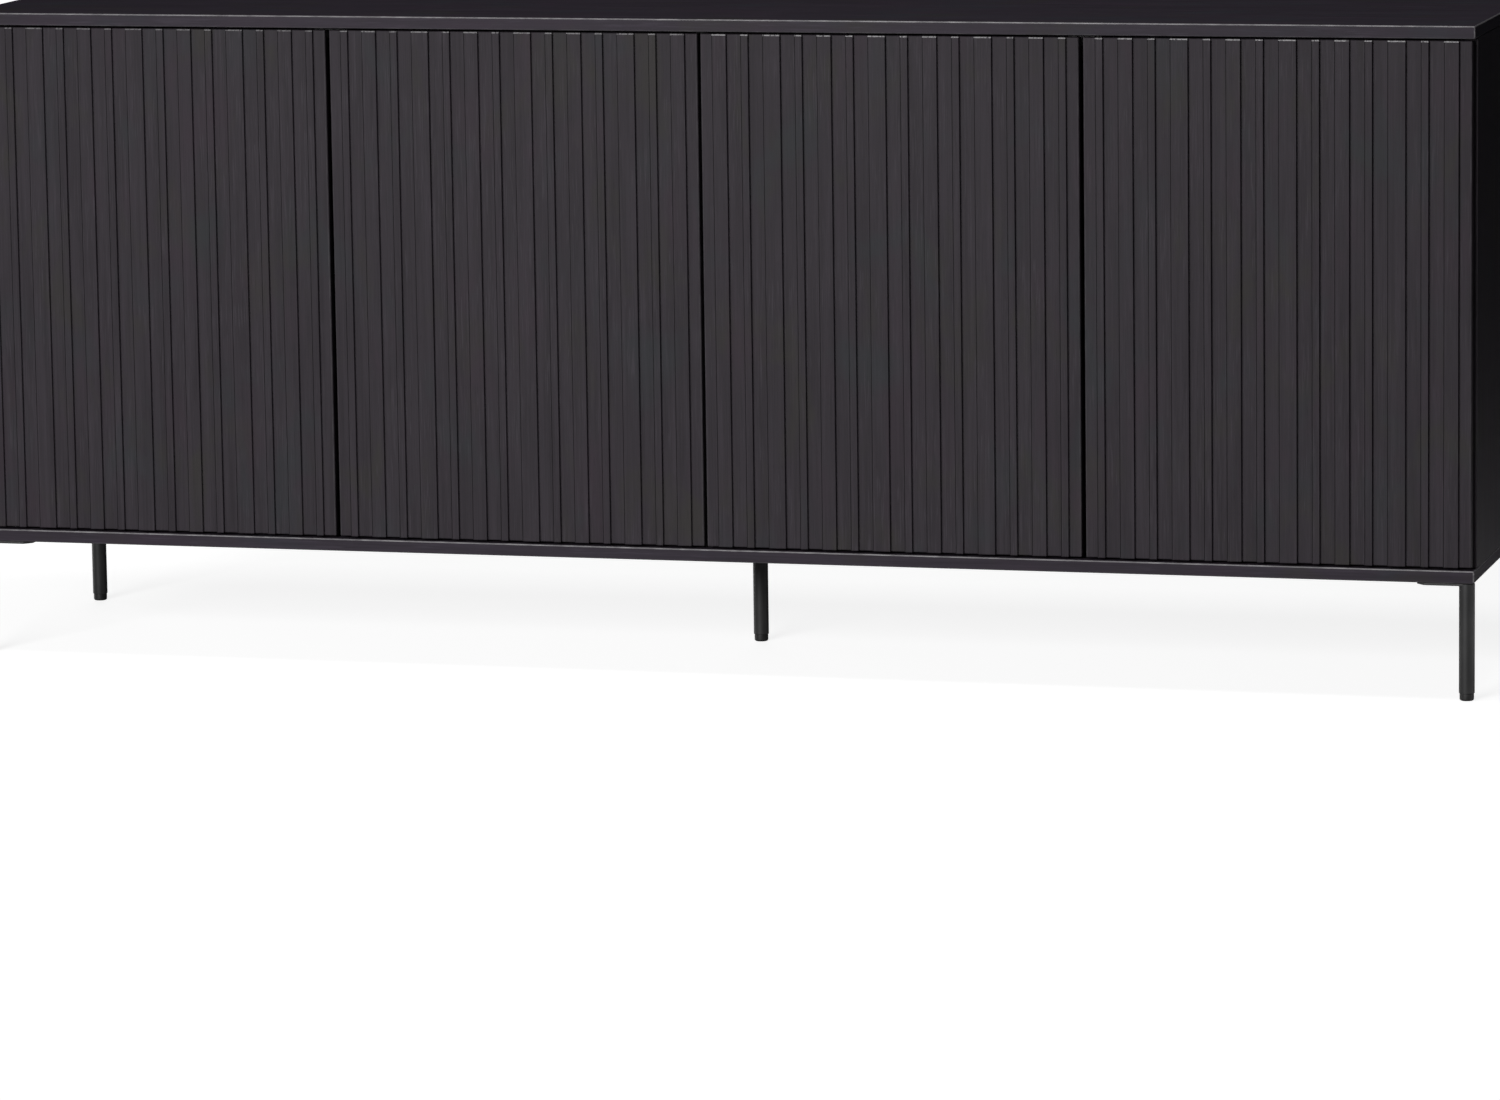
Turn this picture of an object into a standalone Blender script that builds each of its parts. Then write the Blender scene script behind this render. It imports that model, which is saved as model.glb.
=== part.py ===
"""Sideboard buffet: a four-door cabinet with ribbed doors on five round steel legs.

Metres, +Z up. X runs along the cabinet, -Y is the front, and the origin is on the floor
under the middle of the carcass. The doors are shown shut.
"""
import math

import bmesh
import bpy
from mathutils import Matrix, Vector

# Overall size
WIDTH = 2.000
DEPTH = 0.440
HEIGHT = 0.850
LEG_HEIGHT = 0.150
BOARD = 0.016
GAP = 0.0003
FRONT = -DEPTH / 2
BACK = DEPTH / 2
EDGE_ROUND = 0.0010
OVERCUT = 0.0010

# Heights of the carcass boards
BOTTOM_Z = LEG_HEIGHT
FLOOR_Z = BOTTOM_Z + BOARD
CEILING_Z = HEIGHT - BOARD
INNER_BOTTOM = FLOOR_Z + GAP
INNER_TOP = CEILING_Z - GAP

# Doors: a board with raised ribs, laid over the front edges of the sides
DOOR_FRONT = FRONT + 0.002
DOOR_THICK = 0.018
RIB_HEIGHT = 0.004
DOOR_BACK = DOOR_FRONT + DOOR_THICK
DOOR_WIDTH = 0.4940
DOOR_END_GAP = 0.003
DOOR_BOTTOM = FLOOR_Z + DOOR_END_GAP
DOOR_TOP = CEILING_Z - DOOR_END_GAP
SIDE_REVEAL = 0.0045
CENTRE_GAP = 0.004
RIB_WIDTHS = {"narrow": 0.010, "medium": 0.019, "wide": 0.023}
RIB_GROOVE = 0.019
RIB_ORDER = ("narrow", "medium", "narrow", "wide")
RIB_COUNT = 14

# Inside
SIDE_FRONT = FRONT + 0.022
BACK_PANEL_THICK = 0.005
BACK_PANEL_FRONT = BACK - 0.013
BACK_GROOVE = 0.006
SHELF_TOP = 0.508
SHELF_FRONT = FRONT + 0.060
SHELF_SIDE_GAP = 0.002

# Shelf pins and their rows of holes
PIN_RADIUS = 0.0025
PIN_HOLE_RADIUS = 0.0028
PIN_HOLE_DEPTH = 0.0072
PIN_COLLAR_RADIUS = 0.0042
PIN_COLLAR = 0.0012
PIN_NOSE = 0.008
PIN_ROWS_Y = (-0.125, 0.165)
PIN_PITCH = 0.064

# Legs
LEG_RADIUS = 0.0100
LEG_INSET = 0.0105
CENTRE_LEG_Y = 0.055
LEG_PLATE = 0.070
LEG_PLATE_THICK = 0.003
LEG_PLATE_CHAMFER = 0.010
LEG_ROD_SHY = 0.0005
LEG_PLATE_INSET = (0.0040, 0.0010)
GLIDE_HEIGHT = 0.009
GLIDE_RADIUS = 0.0091
GLIDE_ROUND = 0.0025
SPIGOT_RADIUS = 0.0060
SPIGOT_HEIGHT = 0.011

# Hinges: places are (inward from the door's hinge edge, back from the door's front)
HINGE_AXIS_IN = 0.005
HINGE_AXIS_BACK = 0.0025
HINGE_Z = (DOOR_BOTTOM + 0.095, DOOR_TOP - 0.095)
CUP_IN = 0.0225
CUP_RADIUS = 0.0172
CUP_BORE_RADIUS = 0.0175
CUP_DEPTH = 0.0110
CUP_BORE_DEPTH = 0.0115
CUP_WALL = 0.0012
FLANGE_SIZE = (0.018, 0.052)
FLANGE_THICK = 0.0012
ARM_WIDTH = 0.013
ARM_SHEET = 0.0013
ARM_TIP_IN = (0.0270, 0.0355)
ARM_TIP_BACK = 0.0100
ARM_NECK = DOOR_THICK + 0.002
ARM_SHOULDER = ARM_NECK + 0.014
ARM_EASE = 0.002
ARM_END_CHAMFER = 0.004
ARM_LENGTH = 0.092
ARM_RISE = 0.0150
PLATE_SIZE = (0.038, 0.052)
PLATE_THICK = 0.0030
PLATE_FOOT = 0.0140
PLATE_BAR = 0.0098
PLATE_FROM_ARM_END = 0.030

# Push-to-open latches under the top, one for each pair of meeting doors
LATCH_SIZE = (0.044, 0.068, 0.0140)
LATCH_SPREAD = 0.0115
PLUNGER_RADIUS = 0.0040
PLUNGER_BORE_RADIUS = 0.0044
PLUNGER_HEAD_RADIUS = 0.0050
PLUNGER_HEAD = 0.0030
PLUNGER_LENGTH = 0.052
PLUNGER_DOOR_GAP = 0.0005
PLUNGER_ROOM = 0.0050
LATCH_FRONT = DOOR_BACK + 0.0065

COLOURS = {
    "lacquer": ((0.040, 0.037, 0.041), 0.45, 0.0),
    "carcass_lacquer": ((0.030, 0.028, 0.031), 0.50, 0.0),
    "back_board": ((0.030, 0.029, 0.030), 0.60, 0.0),
    "leg_coat": ((0.018, 0.018, 0.019), 0.40, 0.4),
    "glide_plastic": ((0.010, 0.010, 0.010), 0.60, 0.0),
    "hinge_steel": ((0.560, 0.550, 0.530), 0.30, 1.0),
    "pin_steel": ((0.600, 0.590, 0.570), 0.30, 1.0),
    "latch_plastic": ((0.050, 0.050, 0.052), 0.55, 0.0),
    "plunger_tip": ((0.300, 0.300, 0.300), 0.45, 0.0),
}


def new_collection(name):
    collection = bpy.data.collections.new(name)
    bpy.context.scene.collection.children.link(collection)
    return collection


def make_material(name):
    colour, roughness, metallic = COLOURS[name]
    material = bpy.data.materials.new(name)
    material.use_nodes = True
    shader = material.node_tree.nodes["Principled BSDF"]
    shader.inputs["Base Color"].default_value = (*colour, 1.0)
    shader.inputs["Roughness"].default_value = roughness
    shader.inputs["Metallic"].default_value = metallic
    return material


def move_to(obj, collection):
    for owner in list(obj.users_collection):
        owner.objects.unlink(obj)
    collection.objects.link(obj)


def finish_part(obj, name, material):
    obj.name = name
    obj.data.name = name
    obj.data.materials.clear()
    obj.data.materials.append(MATERIALS[material])
    move_to(obj, PARTS)
    return obj


def finish_cutter(obj, name):
    obj.name = name
    obj.hide_render = True
    obj.display_type = "WIRE"
    move_to(obj, CUTTERS)
    return obj


def cube(size, centre):
    """A box of the given size, with its scale applied to its mesh."""
    bpy.ops.mesh.primitive_cube_add(size=1.0, location=centre)
    obj = bpy.context.object
    obj.data.transform(Matrix.Diagonal((*size, 1.0)))
    return obj


def span_box(low, high):
    low, high = Vector(low), Vector(high)
    return cube(high - low, (low + high) / 2)


def cylinder(radius, depth, centre, axis="Z", sides=24):
    turns = {"Z": (0, 0, 0), "Y": (math.radians(-90), 0, 0), "X": (0, math.radians(90), 0)}
    bpy.ops.mesh.primitive_cylinder_add(
        vertices=sides, radius=radius, depth=depth, location=centre, rotation=turns[axis]
    )
    return bpy.context.object


def move_origin(obj, place):
    """Put an unrotated object's origin at a world place, and leave its shape where it is."""
    obj.data.transform(Matrix.Translation(obj.location - place))
    obj.location = place


def soften(obj, width, segments=2):
    bevel = obj.modifiers.new("Edges", "BEVEL")
    bevel.width = width
    bevel.segments = segments
    bevel.limit_method = "ANGLE"
    return obj


def boolean(obj, other, operation, name):
    modifier = obj.modifiers.new(name, "BOOLEAN")
    modifier.operation = operation
    modifier.object = other
    modifier.solver = "EXACT"
    return modifier


def turned(profile, sides=20):
    """A solid turned about Z from (radius, height) points that run top to bottom."""
    mesh = bpy.data.meshes.new("profile")
    points = [(radius, 0.0, height) for radius, height in profile]
    mesh.from_pydata(points, [(i, i + 1) for i in range(len(points) - 1)], [])
    obj = bpy.data.objects.new("turned", mesh)
    bpy.context.scene.collection.objects.link(obj)
    screw = obj.modifiers.new("Turn", "SCREW")
    screw.steps = sides
    screw.render_steps = sides
    screw.use_merge_vertices = True
    screw.merge_threshold = 0.00001
    return obj


def quarter_round(centre, radius, start, end, steps=3):
    """Points of an arc in a turned profile, between two angles in degrees."""
    points = []
    for i in range(steps + 1):
        angle = math.radians(start + (end - start) * i / steps)
        points.append((centre[0] + radius * math.cos(angle), centre[1] + radius * math.sin(angle)))
    return points


def outline_mesh(points, low, high):
    """A flat outline in X and Y, extruded along Z from low to high."""
    curve = bpy.data.curves.new("outline", "CURVE")
    curve.dimensions = "2D"
    curve.fill_mode = "BOTH"
    curve.extrude = (high - low) / 2
    spline = curve.splines.new("POLY")
    spline.points.add(len(points) - 1)
    for point, (x, y) in zip(spline.points, points):
        point.co = (x, y, 0.0, 1.0)
    spline.use_cyclic_u = True
    flat = bpy.data.objects.new("outline", curve)
    bpy.context.scene.collection.objects.link(flat)
    flat.location = (0.0, 0.0, (low + high) / 2)
    bpy.context.view_layer.update()
    evaluated = flat.evaluated_get(bpy.context.evaluated_depsgraph_get())
    mesh = bpy.data.meshes.new_from_object(evaluated)
    weld = bmesh.new()
    weld.from_mesh(mesh)
    bmesh.ops.remove_doubles(weld, verts=weld.verts, dist=0.00001)
    bmesh.ops.dissolve_limit(
        weld, angle_limit=math.radians(0.5), verts=weld.verts, edges=weld.edges
    )
    bmesh.ops.recalc_face_normals(weld, faces=weld.faces)
    weld.to_mesh(mesh)
    weld.free()
    obj = bpy.data.objects.new("outline_solid", mesh)
    bpy.context.scene.collection.objects.link(obj)
    obj.matrix_world = flat.matrix_world.copy()
    bpy.data.objects.remove(flat)
    return obj


def shade_round(obj):
    obj.data.shade_smooth()
    obj.data.set_sharp_from_angle(angle=math.radians(35))
    return obj


# Carcass


def back_groove_cutter():
    """The slot that the back panel stands in, cut from the boards round it."""
    low = (-WIDTH / 2 + BOARD - BACK_GROOVE, BACK_PANEL_FRONT - GAP, FLOOR_Z - BACK_GROOVE)
    high = (
        WIDTH / 2 - BOARD + BACK_GROOVE,
        BACK_PANEL_FRONT + BACK_PANEL_THICK + GAP,
        CEILING_Z + BACK_GROOVE,
    )
    return finish_cutter(span_box(low, high), "cut_back_groove")


def add_horizontal_board(name, bottom, groove):
    board = span_box((-WIDTH / 2, FRONT, bottom), (WIDTH / 2, BACK, bottom + BOARD))
    finish_part(board, name, "lacquer")
    soften(board, EDGE_ROUND)
    boolean(board, groove, "DIFFERENCE", "Back groove")


def pin_heights():
    middle = SHELF_TOP - BOARD - GAP - PIN_RADIUS
    return (middle - PIN_PITCH, middle, middle + PIN_PITCH)


def pin_hole_cutters(name, face_x, into):
    """Rows of blind holes in a board's face at face_x, running along X."""
    first = None
    for row, y in enumerate(PIN_ROWS_Y):
        for number, z in enumerate(pin_heights()):
            reach = PIN_HOLE_DEPTH + OVERCUT
            centre = (face_x + into * (PIN_HOLE_DEPTH - reach / 2), y, z)
            hole = cylinder(PIN_HOLE_RADIUS, reach, centre, "X", 8)
            finish_cutter(hole, f"cut_{name}_{row}_{number}")
            if first is None:
                first = hole
                continue
            join_mesh(first, hole)
    return first


def join_mesh(target, other):
    """Move another cutter's mesh into the target, as a separate shell."""
    merged = bmesh.new()
    merged.from_mesh(target.data)
    bpy.context.view_layer.update()
    other.data.transform(target.matrix_world.inverted() @ other.matrix_world)
    merged.from_mesh(other.data)
    merged.to_mesh(target.data)
    merged.free()
    bpy.data.objects.remove(other)


def add_side_panel(name, sign, groove):
    inner = sign * (WIDTH / 2 - BOARD)
    outer = sign * WIDTH / 2
    low = (min(inner, outer), SIDE_FRONT, INNER_BOTTOM)
    high = (max(inner, outer), BACK, INNER_TOP)
    panel = finish_part(span_box(low, high), name, "lacquer")
    boolean(panel, groove, "DIFFERENCE", "Back groove")
    boolean(panel, pin_hole_cutters(name, inner, sign), "DIFFERENCE", "Pin holes")


def add_partition():
    low = (-BOARD / 2, SIDE_FRONT, INNER_BOTTOM)
    high = (BOARD / 2, BACK_PANEL_FRONT - GAP, INNER_TOP)
    panel = finish_part(span_box(low, high), "centre_partition", "carcass_lacquer")
    for side, sign in (("left", -1), ("right", 1)):
        holes = pin_hole_cutters(f"partition_{side}", sign * BOARD / 2, -sign)
        boolean(panel, holes, "DIFFERENCE", f"Pin holes {side}")


def add_back_panel():
    reach_x = WIDTH / 2 - BOARD + BACK_GROOVE - GAP
    low = (-reach_x, BACK_PANEL_FRONT, FLOOR_Z - BACK_GROOVE + GAP)
    high = (reach_x, BACK_PANEL_FRONT + BACK_PANEL_THICK, CEILING_Z + BACK_GROOVE - GAP)
    finish_part(span_box(low, high), "back_panel", "back_board")


def add_shelf(name, sign):
    inner = sign * (BOARD / 2 + SHELF_SIDE_GAP)
    outer = sign * (WIDTH / 2 - BOARD - SHELF_SIDE_GAP)
    low = (min(inner, outer), SHELF_FRONT, SHELF_TOP - BOARD)
    high = (max(inner, outer), BACK_PANEL_FRONT - 0.002, SHELF_TOP)
    shelf = finish_part(span_box(low, high), name, "carcass_lacquer")
    soften(shelf, EDGE_ROUND / 2, 1)


def add_shelf_pin(name, face_x, away, y):
    """A turned pin in a hole of the face, with its nose under the shelf."""
    z = pin_heights()[1]
    shank = PIN_HOLE_DEPTH - 0.0006
    profile = [
        (0.0, PIN_NOSE),
        (PIN_RADIUS, PIN_NOSE),
        (PIN_RADIUS, PIN_COLLAR + GAP),
        (PIN_COLLAR_RADIUS, PIN_COLLAR + GAP),
        (PIN_COLLAR_RADIUS, GAP),
        (PIN_RADIUS, GAP),
        (PIN_RADIUS, -shank),
        (0.0, -shank),
    ]
    pin = finish_part(shade_round(turned(profile, 10)), name, "pin_steel")
    pin.location = (face_x, y, z)
    pin.rotation_euler = (0.0, math.radians(90) * away, 0.0)


# Legs


def leg_plate_outline(centre_x, centre_y):
    half = LEG_PLATE / 2
    cut = LEG_PLATE_CHAMFER
    corner = [(half, -half + cut), (half, half - cut), (half - cut, half), (-half + cut, half)]
    corner += [(-half, half - cut), (-half, -half + cut), (-half + cut, -half), (half - cut, -half)]
    return [(centre_x + x, centre_y + y) for x, y in corner]


def add_leg(name, x, y, plate_x, plate_y):
    """A welded leg: a round rod with a blind bore at the foot, and a flat plate on top."""
    top = LEG_HEIGHT - GAP
    under = top - LEG_PLATE_THICK
    foot = GLIDE_HEIGHT + GAP
    bore = foot + SPIGOT_HEIGHT + 0.002
    rod_top = top - LEG_ROD_SHY
    profile = [
        (0.0, rod_top),
        (LEG_RADIUS, rod_top),
        (LEG_RADIUS, foot),
        (SPIGOT_RADIUS + GAP, foot),
        (SPIGOT_RADIUS + GAP, bore),
        (0.0, bore),
    ]
    rod = turned(profile)
    rod.location = (x, y, 0.0)
    plate = outline_mesh(leg_plate_outline(plate_x, plate_y), under, top)
    finish_cutter(rod, f"join_{name}_rod")
    finish_part(plate, name, "leg_coat")
    boolean(plate, rod, "UNION", "Weld")


def add_glide(name, x, y):
    profile = [
        (0.0, GLIDE_HEIGHT + SPIGOT_HEIGHT),
        (SPIGOT_RADIUS - 0.0006, GLIDE_HEIGHT + SPIGOT_HEIGHT),
        (SPIGOT_RADIUS, GLIDE_HEIGHT + SPIGOT_HEIGHT - 0.001),
        (SPIGOT_RADIUS, GLIDE_HEIGHT),
        (GLIDE_RADIUS, GLIDE_HEIGHT),
    ]
    profile += quarter_round((GLIDE_RADIUS - GLIDE_ROUND, GLIDE_ROUND), GLIDE_ROUND, 0, -90)
    profile.append((0.0, 0.0))
    glide = finish_part(shade_round(turned(profile)), name, "glide_plastic")
    glide.location = (x, y, 0.0)


def add_legs():
    side_x = WIDTH / 2 - LEG_INSET
    side_y = DEPTH / 2 - LEG_INSET
    plate_x = WIDTH / 2 - LEG_PLATE / 2 - LEG_PLATE_INSET[0]
    plate_y = DEPTH / 2 - LEG_PLATE / 2 - LEG_PLATE_INSET[1]
    for end, sx in (("left", -1), ("right", 1)):
        for row, sy in (("front", -1), ("back", 1)):
            place = (sx * side_x, sy * side_y)
            add_leg(f"leg_{row}_{end}", *place, sx * plate_x, sy * plate_y)
            add_glide(f"leg_glide_{row}_{end}", *place)
    add_leg("leg_centre", 0.0, CENTRE_LEG_Y, 0.0, CENTRE_LEG_Y)
    add_glide("leg_glide_centre", 0.0, CENTRE_LEG_Y)


# Doors


def rib_spans():
    """Each rib's start and end, inward from the meeting edge's side of the pattern."""
    widths = [RIB_WIDTHS[RIB_ORDER[i % len(RIB_ORDER)]] for i in range(RIB_COUNT)]
    field = sum(widths) + RIB_GROOVE * (RIB_COUNT - 1)
    start = (DOOR_WIDTH - field) / 2
    spans = []
    for width in widths:
        spans.append((start, start + width))
        start += width + RIB_GROOVE
    return spans


def add_ribs(number, hinge_edge, facing):
    """The door's ribs as one set of bars, sunk a little into the door's board.

    The pattern starts at a door's left edge where it runs to -X from its hinge edge, and is
    mirrored where it runs to +X.
    """
    sink = RIB_HEIGHT / 2
    ribs = None
    for start, end in rib_spans():
        near, far = (DOOR_WIDTH - end, DOOR_WIDTH - start)
        xs = sorted((hinge_edge + facing * near, hinge_edge + facing * far))
        low = (xs[0], DOOR_FRONT, DOOR_BOTTOM)
        high = (xs[1], DOOR_FRONT + RIB_HEIGHT + sink, DOOR_TOP)
        rib = finish_cutter(span_box(low, high), f"join_door_{number}_ribs")
        if ribs is None:
            ribs = rib
            continue
        join_mesh(ribs, rib)
    return ribs


def add_door(number, hinge_edge, facing):
    """A door whose origin is on its hinge axis, with a blind bore for each hinge cup."""
    axis = Vector((hinge_edge + facing * HINGE_AXIS_IN, DOOR_FRONT + HINGE_AXIS_BACK, DOOR_BOTTOM))
    xs = sorted((hinge_edge, hinge_edge + facing * DOOR_WIDTH))
    low = (xs[0], DOOR_FRONT + RIB_HEIGHT, DOOR_BOTTOM)
    door = finish_part(span_box(low, (xs[1], DOOR_BACK, DOOR_TOP)), f"door_{number}", "lacquer")
    move_origin(door, axis)
    boolean(door, add_ribs(number, hinge_edge, facing), "UNION", "Ribs")
    for place, z in zip(("lower", "upper"), HINGE_Z):
        cup_x = hinge_edge + facing * CUP_IN
        reach = CUP_BORE_DEPTH + OVERCUT
        centre = (cup_x, DOOR_BACK - CUP_BORE_DEPTH + reach / 2, z)
        bore = cylinder(CUP_BORE_RADIUS, reach, centre, "Y", 24)
        finish_cutter(bore, f"cut_door_{number}_{place}")
        boolean(door, bore, "DIFFERENCE", f"Cup bore {place}")
        add_hinge_cup(f"hinge_cup_{number}_{place}", cup_x, z)
        add_hinge_arm(f"hinge_arm_{number}_{place}", hinge_edge, facing, z)
        add_hinge_plate(f"hinge_plate_{number}_{place}", hinge_edge, facing, z)


# Hinges


def add_hinge_cup(name, x, z):
    """A pressed cup in the door's bore, with a flange screwed to the door's back."""
    rim = GAP + FLANGE_THICK
    profile = [
        (CUP_RADIUS - CUP_WALL, rim),
        (CUP_RADIUS, rim),
        (CUP_RADIUS, -CUP_DEPTH + 0.001),
        (CUP_RADIUS - 0.001, -CUP_DEPTH),
        (0.0, -CUP_DEPTH),
    ]
    inner = [
        (0.0, -CUP_DEPTH + CUP_WALL),
        (CUP_RADIUS - CUP_WALL, -CUP_DEPTH + CUP_WALL),
        (CUP_RADIUS - CUP_WALL, rim),
    ]
    cup = shade_round(turned(profile + inner, 24))
    finish_part(cup, name, "hinge_steel")
    cup.location = (x, DOOR_BACK, z)
    cup.rotation_euler = (math.radians(-90), 0.0, 0.0)
    flange = cube(
        (FLANGE_SIZE[0], FLANGE_THICK, FLANGE_SIZE[1]), (x, DOOR_BACK + GAP + FLANGE_THICK / 2, z)
    )
    finish_cutter(flange, f"join_{name}_flange")
    reach = 2 * FLANGE_THICK
    hollow = cylinder(CUP_RADIUS - CUP_WALL / 2, reach, (x, DOOR_BACK + GAP, z), "Y", 24)
    finish_cutter(hollow, f"cut_{name}_hollow")
    boolean(flange, hollow, "DIFFERENCE", "Hollow")
    boolean(cup, flange, "UNION", "Flange")


def carcass_face(hinge_edge):
    """The board face that a hinge is fixed to, inward from the door's hinge edge."""
    if abs(hinge_edge) > WIDTH / 4:
        return BOARD - SIDE_REVEAL
    return BOARD / 2 - CENTRE_GAP / 2


def arm_outline(face):
    """The arm's side view: a tip in the cup, a neck, and a body over the mounting plate."""
    tip_low, tip_high = ARM_TIP_IN
    low = face + PLATE_THICK + 2 * GAP
    high = face + ARM_RISE
    return [
        (tip_low + ARM_EASE, ARM_TIP_BACK),
        (tip_high - ARM_EASE, ARM_TIP_BACK),
        (tip_high, ARM_TIP_BACK + ARM_EASE),
        (tip_high, ARM_NECK + ARM_EASE),
        (high, ARM_SHOULDER + ARM_END_CHAMFER),
        (high, ARM_LENGTH - ARM_END_CHAMFER),
        (high - ARM_END_CHAMFER, ARM_LENGTH),
        (low, ARM_LENGTH),
        (low, ARM_SHOULDER),
        (tip_low, ARM_NECK - ARM_EASE),
        (tip_low, ARM_TIP_BACK + ARM_EASE),
    ]


def add_hinge_arm(name, hinge_edge, facing, z):
    """A cranked sheet arm, hollow towards the board that it is screwed to."""
    face = carcass_face(hinge_edge)

    def placed(points):
        return [(hinge_edge + facing * x, DOOR_FRONT + y) for x, y in points]

    outline = arm_outline(face)
    half = ARM_WIDTH / 2
    arm = outline_mesh(placed(outline), z - half, z + half)
    finish_part(arm, name, "hinge_steel")
    sheet = ARM_SHEET
    tip_start = ARM_TIP_BACK + 0.0025
    tip_high = ARM_TIP_IN[1] - sheet
    tip_low = ARM_TIP_IN[0] - ARM_EASE
    high = face + ARM_RISE - sheet
    low = face - OVERCUT
    end = ARM_LENGTH - 0.005
    hollow = [
        (tip_high, tip_start),
        (tip_high, ARM_NECK + ARM_EASE),
        (high, ARM_SHOULDER + ARM_END_CHAMFER),
        (high, end),
        (low, end),
        (low, ARM_SHOULDER - ARM_END_CHAMFER),
        (tip_low, ARM_NECK - ARM_EASE - OVERCUT),
        (tip_low, tip_start),
    ]
    cutter = outline_mesh(placed(hollow), z - half + sheet, z + half - sheet)
    finish_cutter(cutter, f"cut_{name}")
    boolean(arm, cutter, "DIFFERENCE", "Hollow")


def add_hinge_plate(name, hinge_edge, facing, z):
    """The mounting plate: a bar under the arm with a wide foot for its two screws."""
    face = carcass_face(hinge_edge)
    middle_y = DOOR_FRONT + ARM_LENGTH - PLATE_FROM_ARM_END
    x_face = hinge_edge + facing * (face + GAP + PLATE_THICK / 2)
    foot = cube((PLATE_THICK, PLATE_FOOT, PLATE_SIZE[1]), (x_face, middle_y, z))
    bar = cube((PLATE_THICK, PLATE_SIZE[0], PLATE_BAR), (x_face, middle_y, z))
    finish_cutter(bar, f"join_{name}_bar")
    finish_part(foot, name, "hinge_steel")
    boolean(foot, bar, "UNION", "Bar")


# Push-to-open latches


def add_latch(side, x):
    """A housing under the top with two bores, and a sprung plunger in each."""
    width, length, height = LATCH_SIZE
    top = CEILING_Z - GAP
    low = (x - width / 2, LATCH_FRONT, top - height)
    housing = span_box(low, (x + width / 2, LATCH_FRONT + length, top))
    finish_part(housing, f"latch_housing_{side}", "latch_plastic")
    soften(housing, 0.001, 1)
    z = top - height / 2
    tip = DOOR_BACK + PLUNGER_DOOR_GAP
    for place, sign in (("left", -1), ("right", 1)):
        axis_x = x + sign * LATCH_SPREAD
        back = tip + PLUNGER_LENGTH + PLUNGER_ROOM
        reach = back - LATCH_FRONT + OVERCUT
        bore = cylinder(PLUNGER_BORE_RADIUS, reach, (axis_x, back - reach / 2, z), "Y", 16)
        finish_cutter(bore, f"cut_latch_{side}_{place}")
        boolean(housing, bore, "DIFFERENCE", f"Bore {place}")
        add_plunger(f"latch_plunger_{side}_{place}", axis_x, tip, z)


def add_plunger(name, x, tip, z):
    """A round rod with a buffer head; it points to -Y and its origin is at its tip."""
    profile = [
        (0.0, 0.0),
        (PLUNGER_HEAD_RADIUS - 0.001, 0.0),
        (PLUNGER_HEAD_RADIUS, -0.001),
        (PLUNGER_HEAD_RADIUS, -PLUNGER_HEAD),
        (PLUNGER_RADIUS, -PLUNGER_HEAD),
        (PLUNGER_RADIUS, -PLUNGER_LENGTH),
        (0.0, -PLUNGER_LENGTH),
    ]
    plunger = finish_part(shade_round(turned(profile, 16)), name, "plunger_tip")
    plunger.location = (x, tip, z)
    plunger.rotation_euler = (math.radians(90), 0.0, 0.0)


def add_carcass():
    groove = back_groove_cutter()
    add_horizontal_board("top_panel", CEILING_Z, groove)
    add_horizontal_board("bottom_panel", BOTTOM_Z, groove)
    add_side_panel("side_panel_left", -1, groove)
    add_side_panel("side_panel_right", 1, groove)
    add_partition()
    add_back_panel()
    for side, sign in (("left", -1), ("right", 1)):
        add_shelf(f"shelf_{side}", sign)
        faces = (("inner", sign * BOARD / 2, sign), ("outer", sign * (WIDTH / 2 - BOARD), -sign))
        for place, face_x, away in faces:
            for row, y in zip(("front", "back"), PIN_ROWS_Y):
                add_shelf_pin(f"shelf_pin_{side}_{place}_{row}", face_x, away, y)


def add_doors():
    outer = WIDTH / 2 - SIDE_REVEAL
    inner = CENTRE_GAP / 2
    add_door(1, -outer, 1)
    add_door(2, -inner, -1)
    add_door(3, inner, 1)
    add_door(4, outer, -1)


for old in list(bpy.data.objects):
    bpy.data.objects.remove(old)
PARTS = new_collection("sideboard_buffet")
CUTTERS = new_collection("cutters")
MATERIALS = {name: make_material(name) for name in COLOURS}
add_carcass()
add_legs()
add_doors()
add_latch("left", -WIDTH / 4)
add_latch("right", WIDTH / 4)
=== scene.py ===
"""Looks of the sideboard buffet: shapes, materials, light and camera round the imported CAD."""

import math

import bmesh
import bpy
from mathutils import Matrix, Vector


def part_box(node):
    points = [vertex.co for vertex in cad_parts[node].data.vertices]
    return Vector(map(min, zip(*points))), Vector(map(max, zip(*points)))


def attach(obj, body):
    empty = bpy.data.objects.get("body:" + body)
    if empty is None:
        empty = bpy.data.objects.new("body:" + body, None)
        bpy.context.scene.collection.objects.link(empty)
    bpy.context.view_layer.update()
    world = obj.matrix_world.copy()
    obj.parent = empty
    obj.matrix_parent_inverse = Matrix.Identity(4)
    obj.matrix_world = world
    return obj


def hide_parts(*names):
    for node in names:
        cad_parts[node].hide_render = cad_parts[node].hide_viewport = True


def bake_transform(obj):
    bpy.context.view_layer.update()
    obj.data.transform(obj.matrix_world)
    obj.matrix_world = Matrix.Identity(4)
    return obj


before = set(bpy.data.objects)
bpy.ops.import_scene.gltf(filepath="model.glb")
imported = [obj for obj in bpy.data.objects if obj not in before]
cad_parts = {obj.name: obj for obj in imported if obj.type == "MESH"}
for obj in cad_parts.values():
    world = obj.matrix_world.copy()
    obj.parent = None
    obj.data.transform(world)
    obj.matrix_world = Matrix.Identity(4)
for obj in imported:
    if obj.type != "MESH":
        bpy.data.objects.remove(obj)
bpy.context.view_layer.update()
MM = 0.001

DOORS = (1, 2, 3, 4)
HINGE_ROWS = ("lower", "upper")
ENDS = ("left", "right")
LEGS = ("front_left", "front_right", "back_left", "back_right", "centre")


# Camera, light and floor

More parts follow.
